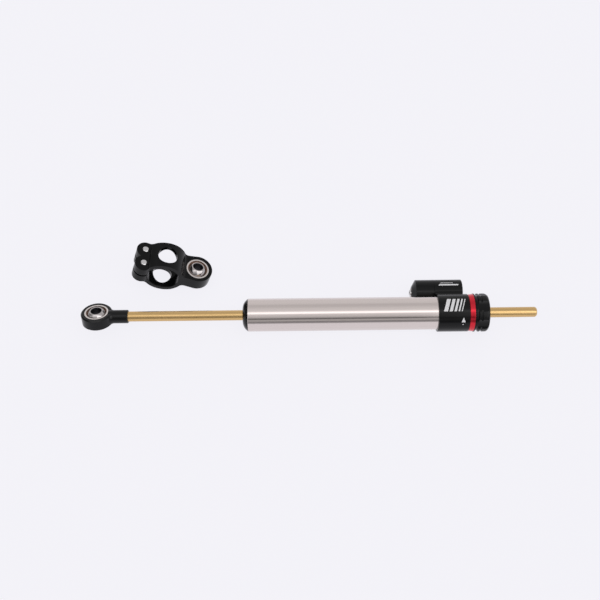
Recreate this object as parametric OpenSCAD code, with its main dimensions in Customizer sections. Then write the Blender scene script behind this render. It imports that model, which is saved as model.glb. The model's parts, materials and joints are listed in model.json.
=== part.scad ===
// Motorcycle steering damper with an adjuster knob, a reservoir and a loose frame clamp.
// Millimetres. X runs along the piston rod, from the rod end to the adjuster, and +Z is up as the
// damper lies on a bench. The origin is the centre of the eye of the rod end, with the rod drawn out
// towards the rod end from mid stroke.

/* [Piston rod] */
// Diameter of the rod
rod_d = 8; // [7.4:0.1:8]
// Length of rod beyond the knob
rod_tail = 38.8; // [37:0.1:60]
// Eye centre to the face of the gland
eye_to_gland = 114.7; // [112:0.1:130]
// Centre of the piston along the rod
piston_x = 177.7; // [175:0.1:183]
// Length of the piston
piston_l = 12; // [10:1:14]

/* [Rod end] */
// Outer diameter of the eye
eye_d = 24.4; // [24:0.1:26]
// Thickness of the eye
eye_t = 9.6; // [9.6:0.1:11]
// Diameter of the neck
neck_d = 10.6; // [10.2:0.1:11]
// End of the neck, from the eye centre
neck_end = 24.7; // [24:0.1:28]
// Roll of the rod end about the rod
eye_roll = 13.5; // [-45:0.5:45]

/* [Spherical bearings] */
// Bore of the ball
ball_bore_d = 8; // [6:0.5:8]
// Diameter of the ball
ball_d = 15.88; // [15.5:0.01:16]
// Width of the ball across its faces
ball_w = 12; // [11:0.5:12.5]
// Outer diameter of the race
race_d = 18.6; // [18.4:0.1:19.2]
// Width of the race
race_w = 9.4; // [8.6:0.1:9.6]

/* [Tube and cylinder] */
// Outer diameter of the tube
tube_d = 26; // [25.6:0.1:26]
// Wall of the tube
tube_wall = 1.5; // [1.2:0.1:1.6]
// Length of tube between the gland and the head
tube_shown = 148.3; // [140:0.1:160]
// Outer diameter of the inner cylinder
cylinder_d = 19; // [18.8:0.1:19.2]
// Bore of the inner cylinder
cylinder_bore = 16; // [15.8:0.1:16.2]

/* [Gland] */
// Length of the cap outside the tube
gland_cap_l = 4.2; // [4.1:0.1:6]
// Radius of the cap's domed face
gland_dome_r = 8.6; // [8:0.1:9]
// Length of the gland inside the tube
gland_insert = 9.8; // [9.5:0.1:11]

/* [Head] */
// Diameter of the head
head_d = 29.6; // [29.4:0.1:30.4]
// Length of the head
head_l = 24.2; // [24:0.1:25]
// Depth of the tube's socket
tube_socket = 9; // [8:0.5:9]

/* [Adjuster] */
// Length of the index ring
ring_l = 4; // [3.5:0.1:4.5]
// Diameter of the index ring at the head
ring_small_d = 28.6; // [28:0.1:29.2]
// Length of the knob
knob_l = 11.8; // [11.5:0.1:13]
// Diameter of the knob
knob_d = 30.2; // [29.8:0.1:30.6]
// Finger scallops round the knob
scallops = 6; // [5:1:8]
// Click positions
clicks = 17; // [9:2:17]
// Turn between clicks
click_angle = 20; // [18:1:20]

/* [Reservoir] */
// Diameter of the reservoir
reservoir_d = 21; // [20.6:0.1:21.4]
// Distance from the rod to the axis of the reservoir
reservoir_offset = 24.9; // [24.7:0.1:25.2]
// Length of the boss on the head
boss_l = 22.7; // [21.5:0.1:23]
// Length of the canister outside the boss
canister_l = 17.4; // [16:0.1:20]

/* [Frame clamp] */
// Width of the clamp along its bore
clamp_w = 23.4; // [22.4:0.1:24]
// Wall of the clamp's ring
clamp_wall = 3.6; // [3.5:0.1:4.2]
// Diameter of the windows through the ring
window_d = 15.4; // [14:0.1:16.6]
// Bore centre to bearing centre
clamp_reach = 26.6; // [26:0.1:28]
// Outer diameter of the bearing eye
clamp_eye_d = 24.3; // [24:0.1:25]
// Thickness of the arm and the eye
arm_t = 11.2; // [10.4:0.1:12]
// Bore centre to the bolts
bolt_reach = 17.7; // [17.5:0.1:18.4]
// Distance between the bolts
bolt_spacing = 13.2; // [13:0.1:14]
// Diameter of the bolts
bolt_d = 5; // [4:0.5:5]
// Height of the bolt lugs
lug_h = 16.4; // [15.4:0.2:17]
// Radius of the lobes round the bolts
lug_lobe_r = 7.2; // [6.6:0.1:7.4]
// Width of the slit
slit_w = 1.6; // [1:0.1:2]
// Place of the clamp on the bench, along and behind the rod
clamp_place = [49, 50.2]; // [45:0.1:70]
// How far the loose clamp leans to the front, on the rim of its ring
clamp_lean = 6; // [0:0.5:9]
// Tilt of the ball in the clamp's eye
clamp_ball_tilt = 13; // [-13:1:13]

/* [Hidden] */
$fn = 96;
eps = 0.01;
// Radial clearance of a turning or sliding fit
run = 0.03;
// Clearance of a fixed seat
seat = 0.02;
// Overlap that keeps a fillet from being exactly tangent
blend = 0.03;

// Radii
rod_r = rod_d / 2;
tube_r = tube_d / 2;
tube_bore_r = tube_r - tube_wall;
cylinder_r = cylinder_d / 2;
cylinder_bore_r = cylinder_bore / 2;
head_r = head_d / 2;
knob_r = knob_d / 2;
reservoir_r = reservoir_d / 2;
neck_r = neck_d / 2;
race_r = race_d / 2;
ball_r = ball_d / 2;

// The bench, which the widest of the head and the knob lies on
bench_z = -max(head_r, knob_r);

// Stations along the rod
gland_x = eye_to_gland;
tube_x = gland_x + gland_cap_l;
gland_in_x = tube_x + gland_insert;
gland_nose_x = gland_in_x + 4;
head_x = tube_x + tube_shown;
head_end_x = head_x + head_l;
tube_end_x = head_x + tube_socket;
cylinder_end_x = head_x + 12.5;
slot_x = cylinder_end_x + 2;
port_x = slot_x + 1.8;
bush_x = slot_x + 5;
ring_x = head_end_x + 0.25;
ring_end_x = head_end_x + ring_l;
knob_end_x = ring_end_x + knob_l;
spigot_end_x = knob_end_x - 1.6;
seal_x = spigot_end_x - 8;
rod_tip_x = knob_end_x + rod_tail;
rod_foot_x = 14.5;
rod_round = 2;

// Bearing liner, a thin ball shell between race and ball
liner_r = ball_r + 0.6;
// The race's lips stand clear of the ball, and the liner ends below them
race_lip_r = ball_r + 0.1;
liner_w = 2 * sqrt(pow(liner_r, 2) - pow(race_lip_r, 2));

// Seats of the gland and the head
bush_r = 6;
seal_r = 7.2;
rod_hole_r = rod_r + 0.4;
gland_seal_end_x = gland_x + 6.5;
gland_bush_x = gland_seal_end_x + 2.5;
o_ring_wire = 0.58;
gland_o_ring_x = tube_x + 4.6;
head_o_ring_x = head_x + 5.6;

// Piston on its circlips
piston_x0 = piston_x - piston_l / 2;
piston_x1 = piston_x + piston_l / 2;
circlip_t = 0.8;
circlip_gap = 0.1;
circlip_r = 5.2;
circlip_seat_r = rod_r - 0.5;
piston_ring_w = 3;
piston_ring_in_r = 7;

// Metering sleeve round the spigot
spigot_r = 9;
sleeve_in_r = spigot_r + run;
sleeve_r = 11;
slot_r = sleeve_r + run;
sleeve_x = slot_x + 0.4;
sleeve_end_x = ring_end_x + 2.8;
orifice_least_r = 0.3;
orifice_step_r = 0.04;
gallery_r = 12;
gallery_w = 2.6;
spigot_port_r = 1.1;
drilling_r = 0.9;
drilling_at_r = 10.9;
outer_o_ring_x = bush_x - 0.5;
inner_o_ring_x = bush_x + 1.5;
adjuster_groove_w = 1.2;

// Detent in the face of the head
detent_r = 12.45;
detent_ball_r = 0.9;
detent_hole_r = 0.95;
detent_hole_l = 4.4;
detent_ball_x = head_end_x - 0.25;
detent_angle = 130;
dimple_r = 0.6;
dimple_x = ring_x + 0.95;

// Knob, its stop pin and its circlip
flange_end_x = ring_end_x + 1.3;
groove_1_end_x = flange_end_x + 1.7;
rib_end_x = groove_1_end_x + 1.9;
groove_2_end_x = rib_end_x + 1.2;
groove_1_r = knob_r - 1.3;
groove_2_r = knob_r - 0.7;
knob_round = 3;
knob_bore_x = sleeve_end_x;
knob_recess_x = spigot_end_x - 2.1;
knob_recess_r = 11.8;
knob_circlip_x = knob_recess_x + 0.15;
knob_circlip_t = 0.9;
knob_circlip_seat_r = 8.4;
knob_circlip_r = 11.2;
stop_x = knob_bore_x + 2.6;
stop_pin_r = 0.8;
stop_pin_out_r = 10;
stop_track_r = 10.3;
stop_track_w = 2.2;
adjuster_travel = (clicks - 1) * click_angle / 2;
stop_lug_angle = 180 - adjuster_travel - asin(stop_pin_r / stop_pin_out_r) - 1;
scallop_half = 17.5;
scallop_cut_r = 14;
scallop_turn = 48.5;

// Reservoir, which lies on the bench beside the head
reservoir_drop = asin((-bench_z - reservoir_r) / reservoir_offset);
reservoir_y = reservoir_offset * cos(reservoir_drop);
reservoir_z = -reservoir_offset * sin(reservoir_drop);
boss_end_x = head_x + boss_l;
canister_x = head_x - canister_l;
canister_cone_l = 3.1;
canister_face_r = 5;
canister_seat_r = 9;
canister_end_x = head_x + 13.5;
canister_bore_r = 7.5;
canister_bore_x = canister_x + 4.4;
canister_o_ring_x = head_x + 2.5;
boss_bore_end_x = boss_end_x - 4;
floater_x = head_x - 0.5;
floater_l = 7;
floater_r = canister_bore_r - run;
floater_groove_r = 6.5;
small_wire = 0.46;
plug_r = 2.75;
plug_shank_r = 1.9;
plug_out = 1.5;
plug_recess_r = 4.2;
plug_recess_l = 1.2;
plug_washer_r = 3.4;
plug_washer_t = 0.8;

// Fillets between the head and the reservoir boss, set back from the chamfers of both
valley_r = 4;
web_set_back = 0.6;
valley_head = head_r + valley_r;
valley_boss = reservoir_r + valley_r;
valley_along = (pow(reservoir_offset, 2) + pow(valley_head, 2) - pow(valley_boss, 2))
    / (2 * reservoir_offset);
valley_across = sqrt(pow(valley_head, 2) - pow(valley_along, 2));

// Frame clamp, in its own frame: x from the bore to the bearing, y along the bore, z up
clamp_r = tube_r + clamp_wall;
lug_web = bolt_reach + 3.2;
lug_w = bolt_spacing + 2 * lug_lobe_r;
lobe_fillet_r = 4;
lobe_fillet = [
    -bolt_reach + sqrt(
        pow(lug_lobe_r + lobe_fillet_r, 2)
        - pow(clamp_w / 2 + lobe_fillet_r - bolt_spacing / 2, 2)
    ),
    clamp_w / 2 + lobe_fillet_r
];
clamp_eye_r = clamp_eye_d / 2;
arm_waist = 11.4;
arm_waist_l = 11;
waist_r = (pow(arm_waist_l, 2) + pow(arm_waist, 2) - pow(clamp_eye_r, 2)) / (2 * (clamp_eye_r - arm_waist));
waist_end = clamp_reach - arm_waist_l * clamp_eye_r / (clamp_eye_r + waist_r);
arm_fillet_r = 4;
lug_fillet_r = 3;
bolt_head_r = 4.2;
bolt_head_l = 4.4;
bolt_tip = 0.4;
bolt_proud = 1;
bearing_lift = (arm_t - race_w) / 2 - 0.1;
// How far the ring's rim and the eye's toe reach below the ring's centre at a tilt of the arm
function ring_depth(tilt) =
    let (rise = sin(clamp_lean) * cos(tilt))
    clamp_r * sqrt(1 - rise * rise) + clamp_w / 2 * rise;
function eye_depth(tilt) =
    let (upright = cos(clamp_lean) * cos(tilt))
    clamp_reach * sin(tilt) + clamp_eye_r * sqrt(1 - upright * upright) + arm_t / 2 * upright;
// The tilt at which ring and eye both touch the bench
function resting_tilt(low, high, steps) =
    let (mid = (low + high) / 2)
    steps == 0 ? mid
    : eye_depth(mid) < ring_depth(mid) ? resting_tilt(mid, high, steps - 1)
    : resting_tilt(low, mid, steps - 1);
clamp_tilt = resting_tilt(0, 40, 40);

// A solid of revolution about the rod axis, from a profile of [x, r] points
module turned(profile) {
    rotate([0, 90, 0])
        rotate_extrude()
            polygon([for (p = profile) [p[1], p[0]]]);
}

// A round bar or a ring along the rod axis
module bar(x0, x1, r_out, r_in = 0) {
    turned([[x0, r_in], [x1, r_in], [x1, r_out], [x0, r_out]]);
}

// A bar with chamfered ends
module chamfered_bar(x0, x1, r, c0, c1) {
    turned([[x0, 0], [x1, 0], [x1, r - c1], [x1 - c1, r], [x0 + c0, r], [x0, r - c0]]);
}

// An O-ring round the rod axis
module o_ring(x, r, wire) {
    translate([x, 0, 0])
        rotate([0, 90, 0])
            rotate_extrude()
                translate([r, 0])
                    circle(wire);
}

// Half profile of a bar or a ring whose outer edge at x1 is rounded
module rounded_profile(x0, x1, r_out, r_in, round) {
    edge_r = r_out - round;
    edge_x = x1 - round;
    translate([r_in, x0])
        square([edge_r - r_in, x1 - x0]);
    translate([r_in, x0])
        square([r_out - r_in, edge_x - x0]);
    intersection() {
        translate([edge_r, edge_x])
            circle(round);
        translate([edge_r - 1, edge_x - 1])
            square(round + 1);
    }
}

// A hole or pin that points away from the rod axis, at a turn about it
module spoke(x, turn, r0, r1, r) {
    rotate([turn, 0, 0])
        translate([x, 0, r0])
            cylinder(h = r1 - r0, r = r);
}

// A hole or pin parallel to the rod axis, at a turn about it
module side_drill(x0, x1, turn, at_r, r) {
    rotate([turn, 0, 0])
        translate([x0, 0, at_r])
            rotate([0, 90, 0])
                cylinder(h = x1 - x0, r = r);
}

// A split ring that snaps into a groove
module circlip(x, t, r_in, r_out, gap) {
    difference() {
        bar(x, x + t, r_out, r_in);
        translate([x - eps, -gap / 2, 0])
            cube([t + 2 * eps, gap, r_out + 1]);
    }
}

// A lip seal: a ring with a V groove in its pressure side
module lip_seal(x0, x1, r_in, r_out) {
    mid = (r_in + r_out) / 2;
    depth = (x1 - x0) * 0.55;
    turned([
        [x0, r_in], [x1, r_in], [x1, mid - 0.8], [x1 - depth, mid], [x1, mid + 0.8], [x1, r_out], [x0, r_out]
    ]);
}

// A wiper: a ring with a scraping lip that stands out past its seat
module wiper(x0, x1, r_in, r_out, lip) {
    turned([[x0, r_in], [x1 + lip, r_in], [x1, r_in + 1.1], [x1, r_out], [x0, r_out]]);
}

// A coil of round wire along X, as one tube with closed ends
module coil(x0, x1, r, wire, turns, steps, sides) {
    rings = turns * steps;
    pitch = (x1 - x0 - 2 * wire) / turns;
    points = [
        for (i = [0 : rings])
            for (k = [0 : sides - 1])
                let (
                    turn = 360 * i / steps,
                    side = 360 * k / sides,
                    at_r = r + wire * cos(side)
                )
                [x0 + wire + pitch * i / steps + wire * sin(side), at_r * sin(turn), at_r * cos(turn)]
    ];
    walls = [
        for (i = [0 : rings - 1])
            for (k = [0 : sides - 1])
                let (
                    a = i * sides + k,
                    b = i * sides + (k + 1) % sides
                )
                each [[a, b, b + sides], [a, b + sides, a + sides]]
    ];
    caps = [
        for (k = [1 : sides - 2])
            each [[0, k + 1, k], [rings * sides, rings * sides + k, rings * sides + k + 1]]
    ];
    polyhedron(points = points, faces = concat(walls, caps));
}

// The three pieces of a spherical bearing, on the Z axis
module bearing_race() {
    difference() {
        cylinder(h = race_w, r = race_r, center = true);
        sphere(liner_r);
        for (side = [0, 1])
            mirror([0, 0, side])
                translate([0, 0, liner_w / 2 - 0.5])
                    cylinder(h = race_w, r = race_lip_r);
    }
}

module bearing_liner() {
    difference() {
        intersection() {
            sphere(liner_r);
            cylinder(h = liner_w, r = race_r, center = true);
        }
        sphere(ball_r + run);
    }
}

module bearing_ball() {
    difference() {
        intersection() {
            sphere(ball_r);
            cylinder(h = ball_w, r = ball_r + 1, center = true);
        }
        cylinder(h = ball_w + 1, r = ball_bore_d / 2, center = true);
        for (side = [0, 1])
            mirror([0, 0, side])
                translate([0, 0, ball_w / 2 - 0.3])
                    cylinder(h = 0.4, r1 = ball_bore_d / 2 - 0.1, r2 = ball_bore_d / 2 + 0.3);
    }
}

module at_eye() {
    rotate([-eye_roll, 0, 0])
        children();
}

module at_reservoir() {
    translate([0, reservoir_y, reservoir_z])
        children();
}

module at_clamp() {
    translate([clamp_place[0], clamp_place[1], bench_z + ring_depth(clamp_tilt)])
        rotate([clamp_lean, clamp_tilt, 0])
            children();
}

module at_clamp_bearing() {
    at_clamp()
        translate([clamp_reach, 0, bearing_lift])
            children();
}

// Rod end: a flat eye that flares into a round neck
module rod_end() {
    eye_r = eye_d / 2;
    edge = 0.9;
    flare_r = 5;
    flare_x = sqrt(pow(eye_r + flare_r, 2) - pow(neck_r + flare_r, 2));
    color([0.09, 0.09, 0.1])
        at_eye()
            difference() {
                union() {
                    rotate_extrude()
                        polygon([
                            [0, -eye_t / 2], [eye_r - edge, -eye_t / 2], [eye_r, -eye_t / 2 + edge],
                            [eye_r, eye_t / 2 - edge], [eye_r - edge, eye_t / 2], [0, eye_t / 2]
                        ]);
                    intersection() {
                        rotate([0, 90, 0])
                            rotate_extrude()
                                difference() {
                                    polygon([[0, 0], [neck_r + flare_r, flare_x], [0, flare_x]]);
                                    translate([neck_r + flare_r, flare_x])
                                        circle(flare_r + blend);
                                }
                        translate([0, 0, -eye_t / 2])
                            translate([0, -eye_r, 0])
                                cube([flare_x + 1, eye_d, eye_t]);
                    }
                    chamfered_bar(eye_r - 3, neck_end, neck_r, 0, 0.5);
                }
                cylinder(h = eye_t + 1, r = race_r, center = true);
                bar(rod_foot_x - 0.5, neck_end + 1, rod_r);
            }
}

module rod_end_race() {
    color("silver")
        at_eye()
            bearing_race();
}

module rod_end_liner() {
    color([0.72, 0.5, 0.4])
        at_eye()
            bearing_liner();
}

module rod_end_ball() {
    color("gainsboro")
        at_eye()
            bearing_ball();
}

module piston_rod() {
    color([0.74, 0.6, 0.36])
        difference() {
            rotate([0, 90, 0])
                rotate_extrude()
                    rounded_profile(rod_foot_x, rod_tip_x, rod_r, 0, rod_round);
            bar(piston_x0 - circlip_gap - circlip_t, piston_x0 - circlip_gap, rod_r + 1, circlip_seat_r);
            bar(piston_x1 + circlip_gap, piston_x1 + circlip_gap + circlip_t, rod_r + 1, circlip_seat_r);
        }
}

module piston() {
    color("silver")
        difference() {
            chamfered_bar(piston_x0, piston_x1, cylinder_bore_r - run, 0.6, 0.6);
            bar(piston_x0 - 1, piston_x1 + 1, rod_r + run);
            bar(
                piston_x - piston_ring_w / 2, piston_x + piston_ring_w / 2,
                cylinder_bore_r + 1, piston_ring_in_r
            );
        }
}

module piston_ring() {
    color("saddlebrown")
        bar(
            piston_x - piston_ring_w / 2 + seat, piston_x + piston_ring_w / 2 - seat,
            cylinder_bore_r - run / 2, piston_ring_in_r + seat
        );
}

module piston_circlips() {
    color("dimgray") {
        circlip(piston_x0 - circlip_gap - circlip_t, circlip_t, circlip_seat_r, circlip_r, 2.4);
        circlip(piston_x1 + circlip_gap, circlip_t, circlip_seat_r, circlip_r, 2.4);
    }
}

module outer_tube() {
    color([0.78, 0.75, 0.74])
        difference() {
            chamfered_bar(tube_x, tube_end_x, tube_r, 0.3, 0.3);
            bar(tube_x - 1, tube_end_x + 1, tube_bore_r);
        }
}

// The inner cylinder has oil ports beside the gland
module inner_cylinder() {
    ports = 4;
    color("lightgray")
        difference() {
            bar(gland_in_x, cylinder_end_x, cylinder_r, cylinder_bore_r);
            for (i = [0 : ports - 1])
                spoke(gland_nose_x + 1.8, 45 + 360 * i / ports, cylinder_bore_r - 1, cylinder_r + 1, 1.5);
        }
}

// Gland cap: a domed face, a spigot in the tube and a nose in the inner cylinder
module gland_cap() {
    flat_r = tube_r - 0.2 - sqrt(pow(gland_dome_r, 2) - pow(gland_dome_r - gland_cap_l, 2));
    color([0.09, 0.09, 0.1])
        difference() {
            union() {
                rotate([0, 90, 0])
                    rotate_extrude() {
                        translate([0, gland_x])
                            square([flat_r, gland_cap_l]);
                        intersection() {
                            translate([flat_r, gland_x + gland_dome_r])
                                circle(gland_dome_r);
                            translate([flat_r - 1, gland_x])
                                square([gland_dome_r + 1, gland_cap_l]);
                        }
                    }
                bar(tube_x - 1, gland_in_x, tube_bore_r - seat);
                chamfered_bar(gland_in_x - 1, gland_nose_x, cylinder_bore_r - seat, 0, 0.4);
            }
            bar(gland_x - 1, gland_nose_x + 1, rod_hole_r);
            bar(gland_x - 1, gland_seal_end_x, seal_r);
            bar(gland_bush_x, gland_nose_x + 1, bush_r);
            bar(
                gland_o_ring_x - o_ring_wire - 0.1, gland_o_ring_x + o_ring_wire + 0.1,
                tube_r, tube_bore_r - 2 * o_ring_wire - 0.1
            );
        }
}

module gland_bush() {
    color("peru")
        bar(gland_bush_x + seat, gland_nose_x - 0.3, bush_r - seat, rod_r + run);
}

module gland_seal() {
    color([0.2, 0.2, 0.22])
        lip_seal(gland_x + 3, gland_seal_end_x - seat, rod_r + run, seal_r - seat);
}

// The scraping lip of this wiper points at the rod end
module gland_wiper() {
    color([0.16, 0.16, 0.17])
        translate([2 * gland_x, 0, 0])
            mirror([1, 0, 0])
                wiper(gland_x - 2.8, gland_x - 0.4, rod_r + run, seal_r - seat, 0.3);
}

module gland_o_ring() {
    color([0.16, 0.16, 0.17])
        o_ring(gland_o_ring_x, tube_bore_r - seat - o_ring_wire, o_ring_wire);
}

// Cross-section of the web that fills both valleys between the head and the boss
module valley_web() {
    difference() {
        polygon([
            [0, 0], [valley_along, valley_across], [reservoir_offset, 0], [valley_along, -valley_across]
        ]);
        for (side = [-1, 1])
            translate([valley_along, side * valley_across])
                circle(valley_r + blend);
    }
}

// Head housing: the tube's socket, the reservoir boss and the spigot that carries the adjuster
module head_housing() {
    edge = 0.4;
    drillings = 3;
    color([0.09, 0.09, 0.1])
        difference() {
            union() {
                chamfered_bar(head_x, head_end_x, head_r, edge, edge);
                bar(bush_x, spigot_end_x, spigot_r);
                at_reservoir()
                    chamfered_bar(head_x, boss_end_x, reservoir_r, 0.2, 0.5);
                rotate([-reservoir_drop, 0, 0])
                    translate([head_x + web_set_back, 0, 0])
                        rotate([90, 0, 90])
                            linear_extrude(boss_l - 2 * web_set_back)
                                valley_web();
            }
            bar(head_x - 1, tube_end_x, tube_r + seat);
            bar(
                head_o_ring_x - o_ring_wire, head_o_ring_x + o_ring_wire,
                tube_r + 0.95, tube_r - 1
            );
            bar(head_x, cylinder_end_x, cylinder_r + seat);
            bar(head_x, bush_x + 1, bush_r + 0.5);
            bar(bush_x, seal_x + 1, bush_r);
            bar(seal_x, spigot_end_x + 1, seal_r);
            bar(slot_x, head_end_x + 1, slot_r, spigot_r);
            bar(port_x - gallery_w / 2, port_x + gallery_w / 2, gallery_r, spigot_r);
            for (i = [0 : drillings - 1])
                side_drill(tube_end_x - 1, port_x, 30 + 360 * i / drillings, drilling_at_r, drilling_r);
            spoke(port_x, 0, bush_r, spigot_r + 1, spigot_port_r);
            bar(
                inner_o_ring_x - adjuster_groove_w / 2, inner_o_ring_x + adjuster_groove_w / 2,
                spigot_r + 1, spigot_r - 1
            );
            bar(
                outer_o_ring_x - adjuster_groove_w / 2, outer_o_ring_x + adjuster_groove_w / 2,
                slot_r + 1, spigot_r
            );
            side_drill(head_end_x - detent_hole_l, head_end_x + 1, detent_angle, detent_r, detent_hole_r);
            spoke(stop_x, 0, seal_r - 1, spigot_r + 1, stop_pin_r);
            bar(
                knob_circlip_x - 0.05, knob_circlip_x + knob_circlip_t + 0.05,
                spigot_r + 1, knob_circlip_seat_r - seat
            );
            at_reservoir()
                bar(head_x - 1, boss_bore_end_x, canister_seat_r + seat);
            rotate([-reservoir_drop, 0, 0])
                translate([port_x, gallery_r - 1, 0])
                    rotate([-90, 0, 0])
                        cylinder(h = reservoir_offset - canister_seat_r - gallery_r + 2, r = 1);
        }
}

module head_bush() {
    color("peru")
        bar(bush_x + 0.3, seal_x - 0.2, bush_r - seat, rod_r + run);
}

module head_seal() {
    color([0.2, 0.2, 0.22])
        mirror([1, 0, 0])
            lip_seal(-seal_x - 3.2, -seal_x - seat, rod_r + run, seal_r - seat);
}

module seal_washer() {
    color("silver")
        bar(seal_x + 3.3, seal_x + 4.4, seal_r - seat, rod_hole_r);
}

module head_wiper() {
    color([0.16, 0.16, 0.17])
        wiper(seal_x + 4.5, spigot_end_x - 0.4, rod_r + run, seal_r - seat, 0.3);
}

module head_o_ring() {
    color([0.16, 0.16, 0.17])
        o_ring(head_o_ring_x, tube_r + 0.5, 0.45);
}

// Metering sleeve: one radial orifice for each click, each a little wider than the last
module metering_sleeve() {
    color("gold")
        difference() {
            bar(sleeve_x, sleeve_end_x, sleeve_r, sleeve_in_r);
            for (i = [0 : clicks - 1])
                spoke(
                    port_x, (i - (clicks - 1) / 2) * click_angle, spigot_r - 1, sleeve_r + 1,
                    orifice_least_r + orifice_step_r * i
                );
        }
}

module adjuster_o_rings() {
    wire = 0.45;
    color([0.16, 0.16, 0.17]) {
        o_ring(inner_o_ring_x, spigot_r - wire - seat, wire);
        o_ring(outer_o_ring_x, slot_r + wire + seat, wire);
    }
}

// Index ring: a red cone on the sleeve, with a ball track and a dimple for each click
module index_ring() {
    color([0.75, 0.1, 0.15])
        difference() {
            turned([
                [ring_x, sleeve_r], [ring_end_x, sleeve_r], [ring_end_x, head_r], [ring_end_x - 0.4, head_r],
                [ring_x, ring_small_d / 2]
            ]);
            o_ring(detent_ball_x, detent_r, detent_ball_r + 0.1);
            for (i = [0 : clicks - 1])
                side_drill(
                    ring_x - 1, dimple_x, detent_angle + (i - (clicks - 1) / 2) * click_angle,
                    detent_r, dimple_r
                );
        }
}

// Adjuster knob: a flange and a rib, then a grip with a rounded shoulder and finger scallops
module adjuster_knob() {
    scallop_at = knob_r * cos(scallop_half)
        + sqrt(pow(scallop_cut_r, 2) - pow(knob_r * sin(scallop_half), 2));
    color([0.08, 0.08, 0.09])
        difference() {
            union() {
                turned([
                    [ring_end_x, sleeve_r], [ring_end_x, knob_r - 0.2], [ring_end_x + 0.2, knob_r],
                    [flange_end_x - 0.5, knob_r], [flange_end_x, groove_1_r], [groove_1_end_x, groove_1_r], [groove_1_end_x, knob_r - 0.3],
                    [groove_1_end_x + 0.3, knob_r], [rib_end_x - 0.3, knob_r], [rib_end_x, knob_r - 0.3],
                    [rib_end_x, groove_2_r], [groove_2_end_x, groove_2_r], [groove_2_end_x, sleeve_r]
                ]);
                rotate([0, 90, 0])
                    rotate_extrude() {
                        translate([spigot_r, groove_2_end_x - 1])
                            square([sleeve_r - spigot_r + 1, knob_end_x - groove_2_end_x + 1]);
                        rounded_profile(groove_2_end_x, knob_end_x, knob_r, sleeve_r, knob_round);
                    }
                bar(knob_bore_x - 1, groove_2_end_x, sleeve_r + 0.5, spigot_r);
            }
            bar(ring_end_x - 1, knob_bore_x, sleeve_r);
            bar(knob_bore_x - 1, knob_end_x + 1, spigot_r + run);
            bar(knob_recess_x, knob_end_x + 1, knob_recess_r);
            difference() {
                bar(stop_x - stop_track_w / 2, stop_x + stop_track_w / 2, stop_track_r);
                rotate([180, 0, 0])
                    translate([stop_x - stop_track_w, 0, 0])
                        rotate([90, 0, 90])
                            linear_extrude(2 * stop_track_w)
                                polygon([
                                    [0, 0],
                                    [-20 * sin(stop_lug_angle), 20 * cos(stop_lug_angle)],
                                    [20 * sin(stop_lug_angle), 20 * cos(stop_lug_angle)]
                                ]);
            }
            for (i = [0 : scallops - 1])
                rotate([scallop_turn + 360 * i / scallops, 0, 0])
                    translate([groove_1_end_x - eps, -scallop_at, 0])
                        rotate([0, 90, 0])
                            cylinder(h = knob_end_x - groove_1_end_x + 1, r = scallop_cut_r);
        }
}

module knob_circlip() {
    color("dimgray")
        circlip(knob_circlip_x, knob_circlip_t, knob_circlip_seat_r, knob_circlip_r, 4);
}

module stop_pin() {
    color("silver")
        spoke(stop_x, 0, seal_r + 0.1, stop_pin_out_r, stop_pin_r);
}

module detent_ball() {
    color("gainsboro")
        rotate([detent_angle, 0, 0])
            translate([detent_ball_x, 0, detent_r])
                sphere(detent_ball_r);
}

module detent_spring() {
    color("gray")
        rotate([detent_angle, 0, 0])
            translate([0, 0, detent_r])
                coil(head_end_x - detent_hole_l + 0.02, detent_ball_x - 0.75, 0.6, 0.16, 4, 10, 6);
}

// Reservoir canister: a cup with a coned end, whose open end screws into the boss
module reservoir_canister() {
    groove = canister_seat_r - 2 * small_wire;
    color([0.09, 0.09, 0.1])
        at_reservoir()
            difference() {
                union() {
                    turned([
                        [canister_x, 0], [head_x, 0], [head_x, reservoir_r],
                        [canister_x + canister_cone_l, reservoir_r], [canister_x, canister_face_r]
                    ]);
                    bar(head_x - 1, canister_end_x, canister_seat_r);
                }
                bar(canister_bore_x, canister_end_x + 1, canister_bore_r);
                bar(canister_x - 1, canister_x + plug_recess_l, plug_recess_r);
                bar(canister_x - 1, canister_bore_x + 1, plug_shank_r);
                bar(
                    canister_o_ring_x - small_wire - 0.05, canister_o_ring_x + small_wire + 0.05,
                    reservoir_r, groove
                );
            }
}

module canister_o_ring() {
    color([0.16, 0.16, 0.17])
        at_reservoir()
            o_ring(canister_o_ring_x, canister_seat_r - small_wire, small_wire);
}

// Filler plug: a round head with a hexagon socket
module reservoir_plug() {
    seat_x = canister_x + plug_recess_l - plug_washer_t;
    head_face_x = canister_x - plug_out;
    color("silver")
        at_reservoir()
            difference() {
                union() {
                    chamfered_bar(head_face_x, seat_x, plug_r, 0.5, 0);
                    bar(seat_x - 0.5, canister_bore_x - 0.3, plug_shank_r);
                }
                translate([head_face_x - 1, 0, 0])
                    rotate([0, 90, 0])
                        cylinder(h = 2.2, r = 1.45, $fn = 6);
            }
}

module plug_washer() {
    color("orange")
        at_reservoir()
            bar(
                canister_x + plug_recess_l - plug_washer_t, canister_x + plug_recess_l,
                plug_washer_r, plug_shank_r
            );
}

module reservoir_piston() {
    mid = floater_x + floater_l / 2;
    color("lightgray")
        at_reservoir()
            difference() {
                chamfered_bar(floater_x, floater_x + floater_l, floater_r, 0.4, 0.4);
                bar(mid - small_wire - 0.05, mid + small_wire + 0.05, reservoir_r, floater_groove_r);
                bar(floater_x + 2.2, floater_x + floater_l + 1, 4.2);
            }
}

module reservoir_piston_o_ring() {
    color([0.16, 0.16, 0.17])
        at_reservoir()
            o_ring(floater_x + floater_l / 2, floater_r - small_wire, small_wire);
}

module reservoir_spring() {
    color("gray")
        at_reservoir()
            coil(canister_bore_x + 0.05, floater_x - 0.05, 5.8, 0.5, 4, 14, 8);
}

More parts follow.
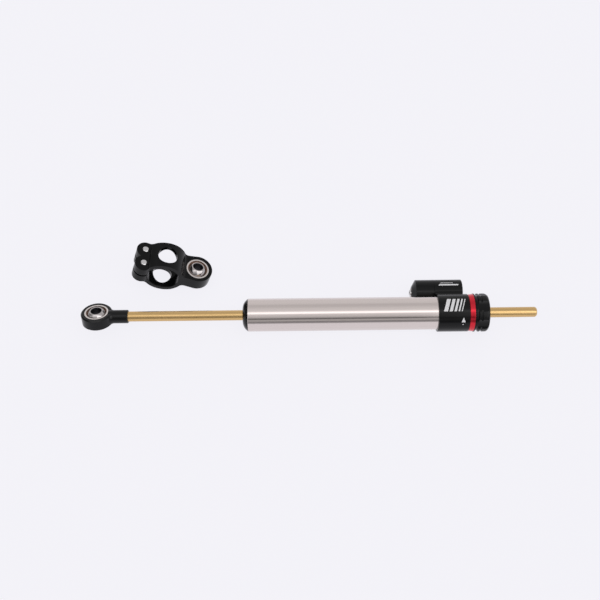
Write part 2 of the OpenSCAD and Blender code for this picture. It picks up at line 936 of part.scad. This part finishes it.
// A tongue that leaves the clamp's ring along x, filleted into it on both sides
module filleted_tongue(half, fillet, end) {
    fillet_x = sqrt(pow(clamp_r + fillet, 2) - pow(half + fillet, 2));
    difference() {
        polygon([
            [0, 0], [fillet_x, half + fillet], [fillet_x, half], [end, half],
            [end, -half], [fillet_x, -half], [fillet_x, -half - fillet]
        ]);
        for (side = [-1, 1])
            translate([fillet_x, side * (half + fillet)])
                circle(fillet + blend);
    }
}

// The clamp's ring with the bearing arm on one side and the bolt lugs on the other
module clamp_ring() {
    wide = lug_w + 2;
    cylinder(h = wide, r = clamp_r, center = true);
    linear_extrude(wide, center = true)
        filleted_tongue(arm_t / 2, arm_fillet_r, clamp_reach + clamp_eye_d);
    mirror([1, 0, 0])
        linear_extrude(wide, center = true)
            filleted_tongue(lug_h / 2, lug_fillet_r, bolt_reach + 2 * lug_lobe_r);
}

// The clamp's outline seen from above, as a tall block: the ring, the waisted arm with its round eye,
// and two bolt lobes that are filleted into the ring
module clamp_plan(tall) {
    half = clamp_w / 2;
    waist_x = clamp_reach - arm_waist_l;
    difference() {
        union() {
            translate([-lug_web, -half, -tall / 2])
                cube([lug_web + waist_x, clamp_w, tall]);
            translate([waist_x - 1, -clamp_eye_r, -tall / 2])
                cube([waist_end - waist_x + 1, clamp_eye_d, tall]);
            translate([clamp_reach, 0, 0])
                cylinder(h = tall, r = clamp_eye_r, center = true);
            for (side = [-1, 1])
                translate([-bolt_reach, side * bolt_spacing / 2, 0])
                    cylinder(h = tall, r = lug_lobe_r, center = true);
            for (side = [0, 1])
                mirror([0, side, 0])
                    linear_extrude(tall, center = true)
                        polygon([
                            [-bolt_reach, bolt_spacing / 2],
                            [lobe_fillet[0], bolt_spacing / 2],
                            lobe_fillet
                        ]);
        }
        for (side = [-1, 1]) {
            translate([waist_x, side * (arm_waist + waist_r), 0])
                cylinder(h = tall + 1, r = waist_r + blend, center = true);
            translate([lobe_fillet[0], side * lobe_fillet[1], 0])
                cylinder(h = tall + 1, r = lobe_fillet_r + blend, center = true);
        }
    }
}

// Frame clamp: a split ring with a window through both walls and an eye for the bearing
module clamp_body() {
    long = 2 * (clamp_reach + clamp_eye_d);
    color([0.09, 0.09, 0.1])
        at_clamp()
            difference() {
                intersection() {
                    rotate([90, 0, 0])
                        clamp_ring();
                    clamp_plan(long);
                }
                rotate([90, 0, 180])
                    cylinder(h = clamp_w - 0.2, r = tube_r, center = true);
                cylinder(h = long, r = window_d / 2, center = true);
                translate([-bolt_reach - 2 * lug_lobe_r, -clamp_w, -slit_w / 2])
                    cube([bolt_reach + 2 * lug_lobe_r - tube_r + 1, 2 * clamp_w, slit_w]);
                translate([clamp_reach, 0, 0])
                    cylinder(h = long, r = race_r, center = true);
                for (side = [-1, 1])
                    translate([-bolt_reach, side * bolt_spacing / 2, 0]) {
                        cylinder(h = long, r = bolt_d / 2 + seat, center = true);
                        translate([0, 0, -lug_h])
                            cylinder(h = lug_h / 2 + bolt_head_l, r = bolt_head_r + 0.1);
                    }
                for (side = [0, 1])
                    mirror([0, side, 0])
                        translate([0, clamp_w / 2 - 0.5, 0])
                            rotate([-90, 0, 0]) {
                                cylinder(h = 0.6, r1 = tube_r - 0.1, r2 = tube_r + 0.5);
                                translate([0, 0, 0.6])
                                    cylinder(h = lug_lobe_r, r = tube_r + 0.5);
                            }
            }
}

// Clamp bolts: heads in the lower lugs, domed tips that show at the top
module clamp_bolts() {
    color("silver")
        at_clamp()
            for (side = [-1, 1])
                translate([-bolt_reach, side * bolt_spacing / 2, 0])
                    difference() {
                        union() {
                            translate([0, 0, -lug_h / 2])
                                cylinder(h = bolt_head_l, r = bolt_head_r);
                            translate([0, 0, -lug_h / 2])
                                cylinder(h = lug_h + bolt_proud, r = bolt_d / 2);
                            translate([0, 0, lug_h / 2 + bolt_proud])
                                cylinder(h = bolt_tip, r1 = bolt_d / 2, r2 = bolt_d / 2 - 0.5);
                        }
                        translate([0, 0, -lug_h / 2 - 1])
                            cylinder(h = 3.4, r = 2.3, $fn = 6);
                    }
}

module clamp_race() {
    color("silver")
        at_clamp_bearing()
            bearing_race();
}

module clamp_liner() {
    color([0.72, 0.5, 0.4])
        at_clamp_bearing()
            bearing_liner();
}

module clamp_ball() {
    color("gainsboro")
        at_clamp_bearing()
            rotate([-clamp_ball_tilt, 0, 0])
                bearing_ball();
}

rod_end();
rod_end_race();
rod_end_liner();
rod_end_ball();
piston_rod();
piston();
piston_ring();
piston_circlips();
outer_tube();
inner_cylinder();
gland_cap();
gland_bush();
gland_seal();
gland_wiper();
gland_o_ring();
head_housing();
head_bush();
head_seal();
seal_washer();
head_wiper();
head_o_ring();
metering_sleeve();
adjuster_o_rings();
index_ring();
adjuster_knob();
knob_circlip();
stop_pin();
detent_ball();
detent_spring();
reservoir_canister();
canister_o_ring();
reservoir_plug();
plug_washer();
reservoir_piston();
reservoir_piston_o_ring();
reservoir_spring();
clamp_body();
clamp_bolts();
clamp_race();
clamp_liner();
clamp_ball();
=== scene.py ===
"""Looks of a motorcycle steering damper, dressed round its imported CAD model, in metres."""

import json
import math

import bmesh
import bpy
from mathutils import Matrix, Vector


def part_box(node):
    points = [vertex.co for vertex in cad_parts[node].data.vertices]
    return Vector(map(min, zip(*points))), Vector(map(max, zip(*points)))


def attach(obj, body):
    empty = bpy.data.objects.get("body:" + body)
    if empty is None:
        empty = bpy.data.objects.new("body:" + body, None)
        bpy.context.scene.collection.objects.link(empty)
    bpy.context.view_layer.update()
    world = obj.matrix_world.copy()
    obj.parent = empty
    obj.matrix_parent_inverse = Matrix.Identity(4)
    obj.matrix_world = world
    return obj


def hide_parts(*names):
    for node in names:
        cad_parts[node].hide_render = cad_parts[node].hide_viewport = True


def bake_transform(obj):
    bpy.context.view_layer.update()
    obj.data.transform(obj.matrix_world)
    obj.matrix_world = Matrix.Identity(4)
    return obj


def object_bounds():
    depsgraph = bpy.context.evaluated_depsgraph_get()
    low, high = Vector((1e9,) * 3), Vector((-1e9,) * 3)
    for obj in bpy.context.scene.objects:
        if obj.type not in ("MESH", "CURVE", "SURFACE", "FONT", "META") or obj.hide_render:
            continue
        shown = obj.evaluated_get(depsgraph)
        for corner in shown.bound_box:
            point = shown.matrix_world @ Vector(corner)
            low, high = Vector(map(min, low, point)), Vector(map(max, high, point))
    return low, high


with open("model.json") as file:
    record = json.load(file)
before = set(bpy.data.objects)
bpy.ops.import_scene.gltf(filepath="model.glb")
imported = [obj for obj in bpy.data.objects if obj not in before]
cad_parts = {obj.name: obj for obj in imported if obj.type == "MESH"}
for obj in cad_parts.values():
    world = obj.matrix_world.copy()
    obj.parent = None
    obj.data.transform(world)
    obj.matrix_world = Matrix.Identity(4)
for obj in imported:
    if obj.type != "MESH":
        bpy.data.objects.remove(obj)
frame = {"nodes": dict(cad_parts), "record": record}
cad_low, cad_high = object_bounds()
nodes = frame["nodes"]
scene = bpy.context.scene
scene.view_settings.view_transform = "Standard"

MM = 0.001

# Places of the head and the reservoir, read from the frame. An axis along X is its Y and Z.
head_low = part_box("head_housing")[0]
canister_low, canister_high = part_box("reservoir_canister")
HEAD_FACE = head_low.x
HEAD_RADIUS = -head_low.z
ROD_AXIS = (0.0, 0.0)
RESERVOIR_RADIUS = (canister_high.y - canister_low.y) / 2
RESERVOIR_AXIS = ((canister_low.y + canister_high.y) / 2, (canister_low.z + canister_high.z) / 2)
FLOOR_Z = cad_low.z

# Camera: the photograph's view of the rod, the tube and the clamp
CAMERA_ELEVATION = math.radians(50.757)
CAMERA_ROLL = math.radians(-0.66)
CAMERA_DISTANCE = 0.69907
CAMERA_TARGET_X = 0.159885
CAMERA_TARGET_UP = 0.01146
FOCAL_PIXELS = 887.57
IMAGE_PIXELS = 600
SENSOR_MM = 36
CLIP_START = 0.01
CLIP_END = 100


def make_camera():
    sin_e = math.sin(CAMERA_ELEVATION)
    cos_e = math.cos(CAMERA_ELEVATION)
    right = Vector((1, 0, 0))
    up = Vector((0, sin_e, cos_e))
    back = Vector((0, -cos_e, sin_e))
    target = Vector((CAMERA_TARGET_X, 0, 0)) + CAMERA_TARGET_UP * up
    turned_right = math.cos(CAMERA_ROLL) * right + math.sin(CAMERA_ROLL) * up
    turned_up = math.cos(CAMERA_ROLL) * up - math.sin(CAMERA_ROLL) * right
    data = bpy.data.cameras.new("camera")
    data.sensor_width = SENSOR_MM
    data.lens = FOCAL_PIXELS * SENSOR_MM / IMAGE_PIXELS
    data.clip_start = CLIP_START
    data.clip_end = CLIP_END
    camera = bpy.data.objects.new("camera", data)
    turn = Matrix((turned_right, turned_up, back)).transposed()
    camera.matrix_world = Matrix.Translation(target + CAMERA_DISTANCE * back) @ turn.to_4x4()
    scene.collection.objects.link(camera)
    scene.camera = camera


# Noise mostly stays between these values
NOISE_LOW = 0.3
NOISE_HIGH = 0.7
GRAIN_DETAIL = 3.0
TURNING_DETAIL = 2.0
BEVEL_SAMPLES = 4


class Tree:
    """A node tree with short calls that add nodes and feed their sockets."""

    def __init__(self, tree):
        self.tree = tree

    def feed(self, socket, value):
        if isinstance(value, bpy.types.NodeSocket):
            self.tree.links.new(value, socket)
        else:
            socket.default_value = value

    def add(self, kind, inputs=None, **settings):
        node = self.tree.nodes.new(kind)
        for key, value in settings.items():
            setattr(node, key, value)
        for key, value in (inputs or {}).items():
            self.feed(node.inputs[key], value)
        return node

    def math(self, operation, first, second=0.0):
        return self.add("ShaderNodeMath", {0: first, 1: second}, operation=operation).outputs[0]

    def vector(self, operation, first, second=(0, 0, 0)):
        node = self.add("ShaderNodeVectorMath", {0: first, 1: second}, operation=operation)
        return node.outputs["Value" if operation == "LENGTH" else "Vector"]

    def spread(self, value, from_low, from_high, to_low, to_high):
        inputs = {
            "Value": value,
            "From Min": from_low,
            "From Max": from_high,
            "To Min": to_low,
            "To Max": to_high,
        }
        return self.add("ShaderNodeMapRange", inputs).outputs["Result"]

    def mix(self, factor, first, second):
        node = self.add("ShaderNodeMix", {"Factor": factor}, data_type="RGBA")
        self.feed(node.inputs[6], first)
        self.feed(node.inputs[7], second)
        return node.outputs[2]


class Finish(Tree):
    """A procedural material round one Principled shader."""

    def __init__(self, name, metallic=0.0, roughness=0.4, specular=0.5, coat=0.0):
        self.material = bpy.data.materials.new(name)
        self.material.use_nodes = True
        super().__init__(self.material.node_tree)
        self.shader = self.tree.nodes["Principled BSDF"]
        self.shader.inputs["Metallic"].default_value = metallic
        self.shader.inputs["Roughness"].default_value = roughness
        self.shader.inputs["Specular IOR Level"].default_value = specular
        self.shader.inputs["Coat Weight"].default_value = coat
        self.place = self.add("ShaderNodeTexCoord").outputs["Object"]

    def grain(self, size, stretch=(1, 1, 1), detail=GRAIN_DETAIL):
        """Noise whose features are about this size, longer along an axis by its stretch."""
        scale = tuple(1 / (size * s) for s in stretch)
        spot = self.add("ShaderNodeMapping", {"Vector": self.place, "Scale": scale}).outputs[0]
        inputs = {"Vector": spot, "Scale": 1.0, "Detail": detail}
        return self.add("ShaderNodeTexNoise", inputs).outputs["Fac"]

    def turning(self, pitch):
        """Fine rings round the rod's axis, as a lathe tool leaves them on walls and end faces."""
        apart = self.add("ShaderNodeSeparateXYZ", {"Vector": self.place})
        y_squared = self.math("MULTIPLY", apart.outputs["Y"], apart.outputs["Y"])
        z_squared = self.math("MULTIPLY", apart.outputs["Z"], apart.outputs["Z"])
        radius = self.math("SQRT", self.math("ADD", y_squared, z_squared))
        spot = self.add("ShaderNodeCombineXYZ", {"X": apart.outputs["X"], "Y": radius}).outputs[0]
        inputs = {"Vector": spot, "Scale": 1 / pitch, "Detail": TURNING_DETAIL}
        return self.add("ShaderNodeTexNoise", inputs, noise_dimensions="2D").outputs["Fac"]

    def color(self, factor, dark, light):
        self.feed(self.shader.inputs["Base Color"], self.mix(factor, (*dark, 1), (*light, 1)))

    def rough(self, factor, low, high):
        value = self.spread(factor, NOISE_LOW, NOISE_HIGH, low, high)
        self.feed(self.shader.inputs["Roughness"], value)

    def relief(self, height, depth, edge_radius=0.0):
        """Bump of this depth, over edges that look rounded by the radius."""
        bump = self.add("ShaderNodeBump", {"Height": height, "Strength": 1.0, "Distance": depth})
        if edge_radius:
            bevel = self.add("ShaderNodeBevel", {"Radius": edge_radius}, samples=BEVEL_SAMPLES)
            self.feed(bump.inputs["Normal"], bevel.outputs[0])
        self.feed(self.shader.inputs["Normal"], bump.outputs[0])


def black_anodised(name, gloss):
    finish = Finish(name, roughness=0.16, specular=gloss)
    blast = finish.grain(size=0.25 * MM)
    cloud = finish.grain(size=9 * MM)
    finish.color(cloud, dark=(0.0016, 0.0017, 0.0020), light=(0.0030, 0.0031, 0.0034))
    finish.rough(cloud, low=0.12, high=0.19)
    finish.relief(blast, depth=0.002 * MM, edge_radius=0.22 * MM)
    return finish.material


def red_anodised():
    finish = Finish("red_anodised", metallic=0.85, roughness=0.17, coat=0.30)
    finish.shader.inputs["Coat Roughness"].default_value = 0.12
    rings = finish.turning(pitch=0.12 * MM)
    finish.color(rings, dark=(0.57, 0.010, 0.024), light=(0.69, 0.016, 0.036))
    finish.rough(rings, low=0.13, high=0.21)
    finish.relief(rings, depth=0.002 * MM, edge_radius=0.12 * MM)
    return finish.material


def tube_metal():
    finish = Finish("tube_metal", metallic=1.0, roughness=0.13)
    drawn = finish.grain(size=0.10 * MM, stretch=(220, 1, 1))
    cloud = finish.grain(size=14 * MM, stretch=(3, 1, 1))
    finish.color(drawn, dark=(0.662, 0.594, 0.572), light=(0.720, 0.649, 0.624))
    finish.rough(cloud, low=0.10, high=0.15)
    finish.relief(drawn, depth=0.0006 * MM)
    return finish.material


def gold_coating():
    finish = Finish("gold_coating", metallic=1.0, roughness=0.24)
    drawn = finish.grain(size=0.08 * MM, stretch=(160, 1, 1))
    cloud = finish.grain(size=10 * MM, stretch=(4, 1, 1))
    finish.color(cloud, dark=(0.625, 0.415, 0.172), light=(0.690, 0.465, 0.212))
    finish.rough(cloud, low=0.20, high=0.27)
    finish.relief(drawn, depth=0.0006 * MM)
    return finish.material


# Turned metals by material slot: dark, light and roughness
TURNED_METALS = {
    "bright_aluminium": ((0.62, 0.62, 0.63), (0.76, 0.76, 0.77), 0.28),
    "bush_bronze": ((0.50, 0.32, 0.15), (0.64, 0.43, 0.22), 0.35),
    "sleeve_brass": ((0.60, 0.43, 0.16), (0.74, 0.56, 0.25), 0.22),
    "washer_copper": ((0.55, 0.25, 0.14), (0.70, 0.36, 0.22), 0.3),
}
# How far the rings take the roughness to both sides
TURNED_SMOOTHER = 0.8
TURNED_ROUGHER = 1.2


def turned_metal(name, dark, light, roughness):
    finish = Finish(name, metallic=1.0, roughness=roughness)
    rings = finish.turning(pitch=0.15 * MM)
    finish.color(rings, dark, light)
    finish.rough(rings, low=roughness * TURNED_SMOOTHER, high=roughness * TURNED_ROUGHER)
    finish.relief(rings, depth=0.003 * MM, edge_radius=0.1 * MM)
    return finish.material


# Polished metals by material slot: dark, light and roughness
POLISHED_METALS = {
    "race_steel": ((0.66, 0.60, 0.57), (0.76, 0.72, 0.70), 0.16),
    "ball_steel": ((0.70, 0.69, 0.69), (0.82, 0.81, 0.81), 0.09),
    "spring_steel": ((0.28, 0.28, 0.29), (0.42, 0.42, 0.43), 0.3),
    "fastener_steel": ((0.60, 0.59, 0.59), (0.74, 0.73, 0.73), 0.2),
}
POLISH_SIZE = 2.5 * MM
SCRATCH_SIZE = 0.06 * MM
SCRATCH_STRETCH = (30, 4, 1)
SCRATCH_DEPTH = 0.0008 * MM
POLISHED_EDGE = 0.12 * MM
# How far the scratches take the roughness to both sides
POLISHED_SMOOTHER = 0.7
POLISHED_ROUGHER = 1.4


def polished_metal(name, dark, light, roughness):
    finish = Finish(name, metallic=1.0, roughness=roughness)
    cloud = finish.grain(POLISH_SIZE)
    scratches = finish.grain(SCRATCH_SIZE, SCRATCH_STRETCH)
    finish.color(cloud, dark, light)
    finish.rough(scratches, low=roughness * POLISHED_SMOOTHER, high=roughness * POLISHED_ROUGHER)
    finish.relief(scratches, SCRATCH_DEPTH, POLISHED_EDGE)
    return finish.material


# The bored balls: their polish, and the bore's painted shade (a dark colour standing for the shade
# inside the hole), with its real rougher surface and how far past the bore it ends
BALL_DARK = (0.42, 0.395, 0.39, 1)
BALL_LIGHT = (0.50, 0.47, 0.465, 1)
BALL_ROUGHNESS = 0.09
BALL_ROUGH_LOW = 0.06
BALL_ROUGH_HIGH = 0.13
# Painted shade: the bore's dark colour stands for the shade inside the hole; only its roughness is
# the bore's own
BORE_SHADE_COLOR = (0.055, 0.053, 0.058, 1)
BORE_ROUGHNESS = 0.45
BORE_MASK_FULL = 0.32 * MM
BORE_MASK_END = 0.52 * MM


def ball_metal(name, mount):
    """Polished steel whose bore, round the mount's axis, is painted dark as shade and made rougher.
    """
    finish = Finish(name, metallic=1.0, roughness=BALL_ROUGHNESS)
    spot = finish.vector("SUBTRACT", finish.place, mount["pos_m"])
    radius = finish.vector("LENGTH", finish.vector("CROSS_PRODUCT", spot, mount["axis"]))
    bore = mount["dims"]["r_mm"] * MM
    # Painted shade: inside the bore the colour turns dark to stand for shade in the hole, and the
    # surface turns rougher
    bore_shade_and_rough = finish.spread(radius, bore + BORE_MASK_FULL, bore + BORE_MASK_END, 1.0, 0.0)
    polish = finish.mix(finish.grain(POLISH_SIZE), BALL_DARK, BALL_LIGHT)
    finish.feed(finish.shader.inputs["Base Color"], finish.mix(bore_shade_and_rough, polish, BORE_SHADE_COLOR))
    scratches = finish.grain(SCRATCH_SIZE, SCRATCH_STRETCH)
    worn = finish.spread(scratches, NOISE_LOW, NOISE_HIGH, BALL_ROUGH_LOW, BALL_ROUGH_HIGH)
    roughness = finish.spread(bore_shade_and_rough, 0.0, 1.0, worn, BORE_ROUGHNESS)
    finish.feed(finish.shader.inputs["Roughness"], roughness)
    finish.relief(scratches, SCRATCH_DEPTH, POLISHED_EDGE)
    return finish.material


def woven_lining():
    finish = Finish("liner_bronze", metallic=0.6, roughness=0.5)
    weave = finish.grain(size=0.3 * MM, detail=1.0)
    finish.color(weave, dark=(0.14, 0.075, 0.050), light=(0.30, 0.18, 0.13))
    finish.rough(weave, low=0.42, high=0.60)
    finish.relief(weave, depth=0.03 * MM)
    return finish.material


def rubber():
    finish = Finish("seal_rubber", roughness=0.6, specular=0.35)
    fine = finish.grain(size=0.15 * MM)
    finish.color(fine, dark=(0.012, 0.012, 0.013), light=(0.026, 0.026, 0.028))
    finish.rough(fine, low=0.52, high=0.70)
    finish.relief(fine, depth=0.01 * MM)
    return finish.material


def slide_plastic():
    finish = Finish("ring_plastic", roughness=0.5)
    flecks = finish.grain(size=0.2 * MM)
    finish.color(flecks, dark=(0.24, 0.12, 0.06), light=(0.40, 0.23, 0.12))
    finish.rough(flecks, low=0.45, high=0.60)
    finish.relief(flecks, depth=0.006 * MM)
    return finish.material


def white_print():
    finish = Finish("white_print", roughness=0.45, specular=0.3)
    ink = finish.grain(size=0.3 * MM)
    finish.color(ink, dark=(0.66, 0.66, 0.67), light=(0.78, 0.78, 0.79))
    finish.rough(ink, low=0.40, high=0.55)
    finish.relief(ink, depth=0.006 * MM)
    return finish.material


def dress_nodes():
    """Each CAD node takes its own finish, or else the finish of its material slot."""
    finishes = {
        "black_anodised": black_anodised("black_anodised", gloss=0.20),
        "red_anodised": red_anodised(),
        "tube_metal": tube_metal(),
        "gold_coating": gold_coating(),
        "liner_bronze": woven_lining(),
        "seal_rubber": rubber(),
        "ring_plastic": slide_plastic(),
    }
    for slot, look in TURNED_METALS.items():
        finishes[slot] = turned_metal(slot, *look)
    for slot, look in POLISHED_METALS.items():
        finishes[slot] = polished_metal(slot, *look)
    mounts = {mount["name"]: mount for mount in frame["record"]["mounts"]}
    own_finishes = {
        "rod_end": black_anodised("rod_end_black", gloss=0.26),
        "clamp_body": black_anodised("clamp_black", gloss=0.16),
        "rod_end_ball": ball_metal("rod_end_ball_steel", mounts["rod_end_eye"]),
        "clamp_ball": ball_metal("clamp_ball_steel", mounts["clamp_eye"]),
    }
    for part in frame["record"]["subparts"]:
        mesh = nodes[part["node"]].data
        mesh.materials.clear()
        mesh.materials.append(own_finishes.get(part["node"]) or finishes[part["material_slot"]])


def make_spring():
    """The reservoir's spring, between its seat and the floating piston, copied from its CAD node
    into a loose mesh in the node's place.
    """
    node = nodes["reservoir_spring"]
    spring = bpy.data.objects.new("floating_spring", node.data.copy())
    scene.collection.objects.link(spring)
    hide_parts("reservoir_spring")
    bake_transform(spring)


# Printed marks, wrapped round their cylinders. Places go along X from the head's face, and turns are
# degrees up round the axis from the front.
INK_HEIGHT = 0.02 * MM
INK_SINK = 0.12 * MM
INK_ROWS = 24
FIRST_BAR = 3.6 * MM
BAR_WIDTHS = (3.0 * MM, 2.4 * MM, 1.8 * MM, 1.2 * MM, 0.7 * MM)
BAR_GAP = 1.3 * MM
BAR_SLANT = 3.2 * MM
BAR_TURNS = (56, 97)
POINTER_PLACE = 18.9 * MM
POINTER_WIDTH = 3.2 * MM
POINTER_TURNS = (22, 37)
POINTER_TAPER = 0.96
DOT_PLACE = 18.7 * MM
DOT_TURN = 14.2
DOT_SIZE = 0.9 * MM
# Keeps the first and the last row of the dot from closing to a point
DOT_BLUNT = 0.01
# Each stripe is a place, a width, a slant and the turns of its two edges
STRIPES = (
    (3.5 * MM, 15.5 * MM, 0.8 * MM, (84, 91)),
    (5.0 * MM, 10.0 * MM, 0.4 * MM, (97, 100)),
)
SHARES = [i / INK_ROWS for i in range(INK_ROWS + 1)]


def wrapped(x, degrees, axis, radius):
    turn = math.radians(degrees)
    return Vector((x, axis[0] - radius * math.cos(turn), axis[1] + radius * math.sin(turn)))


def film_layer(film, rows, axis, radius):
    """Two points for each row, at its low x and its high x."""
    layer = []
    for low, high, turn in rows:
        layer.append([film.verts.new(wrapped(x, turn, axis, radius)) for x in (low, high)])
    return layer


def add_film(film, rows, axis, radius):
    """Adds one closed film of ink. Each row is a low x, a high x and a turn."""
    under = film_layer(film, rows, axis, radius - INK_SINK)
    over = film_layer(film, rows, axis, radius + INK_HEIGHT)
    for i in range(len(rows) - 1):
        film.faces.new((over[i][0], over[i][1], over[i + 1][1], over[i + 1][0]))
        film.faces.new((under[i][0], under[i + 1][0], under[i + 1][1], under[i][1]))
        film.faces.new((under[i][0], over[i][0], over[i + 1][0], under[i + 1][0]))
        film.faces.new((under[i][1], under[i + 1][1], over[i + 1][1], over[i][1]))
    film.faces.new((under[0][0], under[0][1], over[0][1], over[0][0]))
    film.faces.new((under[-1][0], over[-1][0], over[-1][1], under[-1][1]))


def bar_rows(place, width, slant, turns):
    start, end = turns
    rows = []
    for share in SHARES:
        low = HEAD_FACE + place + slant * share
        rows.append((low, low + width, start + share * (end - start)))
    return rows


def triangle_rows(place, width, turns):
    start, end = turns
    center = HEAD_FACE + place
    rows = []
    for share in SHARES:
        half = width / 2 * (1 - POINTER_TAPER * share)
        rows.append((center - half, center + half, start + share * (end - start)))
    return rows


def dot_rows(place, turn, size, radius):
    center = HEAD_FACE + place
    rows = []
    for share in SHARES:
        rise = 2 * share - 1
        half = size / 2 * math.sqrt(max(1 - rise * rise, DOT_BLUNT))
        rows.append((center - half, center + half, turn + math.degrees(size / 2 / radius * rise)))
    return rows


def make_marks():
    ink = white_print()
    bars = []
    place = FIRST_BAR
    for width in BAR_WIDTHS:
        bars.append(bar_rows(place, width, BAR_SLANT, BAR_TURNS))
        place += width + BAR_GAP
    pointer = [
        triangle_rows(POINTER_PLACE, POINTER_WIDTH, POINTER_TURNS),
        dot_rows(DOT_PLACE, DOT_TURN, DOT_SIZE, HEAD_RADIUS),
    ]
    stripes = [bar_rows(*stripe) for stripe in STRIPES]
    prints = {
        "head_bars": (bars, ROD_AXIS, HEAD_RADIUS),
        "index_pointer": (pointer, ROD_AXIS, HEAD_RADIUS),
        "reservoir_stripes": (stripes, RESERVOIR_AXIS, RESERVOIR_RADIUS),
    }
    for name, (shapes, axis, radius) in prints.items():
        film = bmesh.new()
        for rows in shapes:
            add_film(film, rows, axis, radius)
        bmesh.ops.recalc_face_normals(film, faces=film.faces)
        mesh = bpy.data.meshes.new(name)
        film.to_mesh(mesh)
        film.free()
        mesh.materials.append(ink)
        piece = bpy.data.objects.new(name, mesh)
        scene.collection.objects.link(piece)
        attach(piece, "damper_body")


# Studio: a pale floor that glows, under a sky of strip lights that run along the rod
FLOOR_COLOR = (0.888, 0.880, 0.930, 1)
FLOOR_BASE = (0.07, 0.07, 0.07, 1)
FLOOR_ROUGHNESS = 0.9
FLOOR_LIGHT = 0.945
FLOOR_SIZE = 60
# Each band is an angle round the rod, up from the front horizon, with its brightness
SKY_BANDS = (
    (-8, 0.10), (1, 0.16), (6, 0.50), (14, 0.52), (18, 0.31), (21, 0.12),
    (23.5, 0.12), (27.5, 0.38), (34, 0.60), (42, 0.71), (51, 0.78), (55, 0.92),
    (59, 1.60), (66, 1.72), (70.5, 1.25), (75.5, 0.88), (84, 0.80), (95, 0.77),
    (106, 0.67), (121, 0.64), (131, 0.75), (145, 0.79), (180, 0.79),
)
SKY_LOW = -20
SKY_HIGH = 200
# Share of green in the sky's light
SKY_GREEN = 0.99
# A softbox to the right, past the knob: where to the side it starts and is full, and its angles
SIDE_BOX_SIDE = (0.172, 0.212)
SIDE_BOX_ANGLES = (8, 24, 60, 68)
SIDE_BOX_LIGHT = 1.15
# The studio is darker far to the left: from where, to where, and how dim
LEFT_SIDE = (-0.45, -0.75)
LEFT_DIM = 0.45
# The lit part of the floor ends in front of the object, at these distances, and is this dim past it
POOL_EDGE = (-0.085, -0.135)
POOL_DIM = 0.30


def make_studio():
    world = bpy.data.worlds.new("studio")
    world.use_nodes = True
    scene.world = world
    sky = Tree(world.node_tree)
    ray = sky.add("ShaderNodeTexCoord").outputs["Generated"]
    apart = sky.add("ShaderNodeSeparateXYZ", {"Vector": ray})
    side = apart.outputs["X"]
    forward = sky.math("MULTIPLY", apart.outputs["Y"], -1.0)
    angle = sky.math("ARCTAN2", apart.outputs["Z"], forward)
    share = sky.spread(angle, math.radians(SKY_LOW), math.radians(SKY_HIGH), 0.0, 1.0)
    ramp = sky.add("ShaderNodeValToRGB", {"Fac": share})
    stops = ramp.color_ramp.elements
    while len(stops) < len(SKY_BANDS):
        stops.new(1.0)
    for stop, (degrees, light) in zip(stops, SKY_BANDS):
        stop.position = (degrees - SKY_LOW) / (SKY_HIGH - SKY_LOW)
        stop.color = (light, light * SKY_GREEN, light, 1)
    low, low_full, high_full, high = (math.radians(degrees) for degrees in SIDE_BOX_ANGLES)
    aside = sky.spread(side, *SIDE_BOX_SIDE, 0.0, 1.0)
    above = sky.spread(angle, low, low_full, 0.0, 1.0)
    below = sky.spread(angle, high_full, high, 1.0, 0.0)
    box = sky.math("MULTIPLY", aside, sky.math("MULTIPLY", above, below))
    box_light = sky.math("MULTIPLY", box, SIDE_BOX_LIGHT)
    shade = sky.spread(side, LEFT_SIDE[1], LEFT_SIDE[0], LEFT_DIM, 1.0)
    bands = sky.vector("MULTIPLY", ramp.outputs["Color"], shade)
    lit = sky.vector("ADD", bands, box_light)
    seen = sky.add("ShaderNodeLightPath").outputs["Is Camera Ray"]
    background = world.node_tree.nodes["Background"]
    sky.feed(background.inputs["Color"], sky.mix(seen, lit, FLOOR_COLOR))


def make_floor():
    half = FLOOR_SIZE / 2
    corners = ((-half, -half), (half, -half), (half, half), (-half, half))
    mesh = bpy.data.meshes.new("floor")
    mesh.from_pydata([(x, y, FLOOR_Z) for x, y in corners], [], [(0, 1, 2, 3)])
    floor = bpy.data.objects.new("floor", mesh)
    scene.collection.objects.link(floor)
    finish = Finish("floor", roughness=FLOOR_ROUGHNESS, specular=0.0)
    finish.feed(finish.shader.inputs["Base Color"], FLOOR_BASE)
    finish.feed(finish.shader.inputs["Emission Color"], FLOOR_COLOR)
    apart = finish.add("ShaderNodeSeparateXYZ", {"Vector": finish.place})
    pool = finish.spread(apart.outputs["Y"], POOL_EDGE[1], POOL_EDGE[0], POOL_DIM, FLOOR_LIGHT)
    seen = finish.add("ShaderNodeLightPath").outputs["Is Camera Ray"]
    glow = finish.spread(seen, 0.0, 1.0, pool, FLOOR_LIGHT)
    finish.feed(finish.shader.inputs["Emission Strength"], glow)
    mesh.materials.append(finish.material)


make_camera()
dress_nodes()
make_spring()
make_marks()
make_studio()
make_floor()
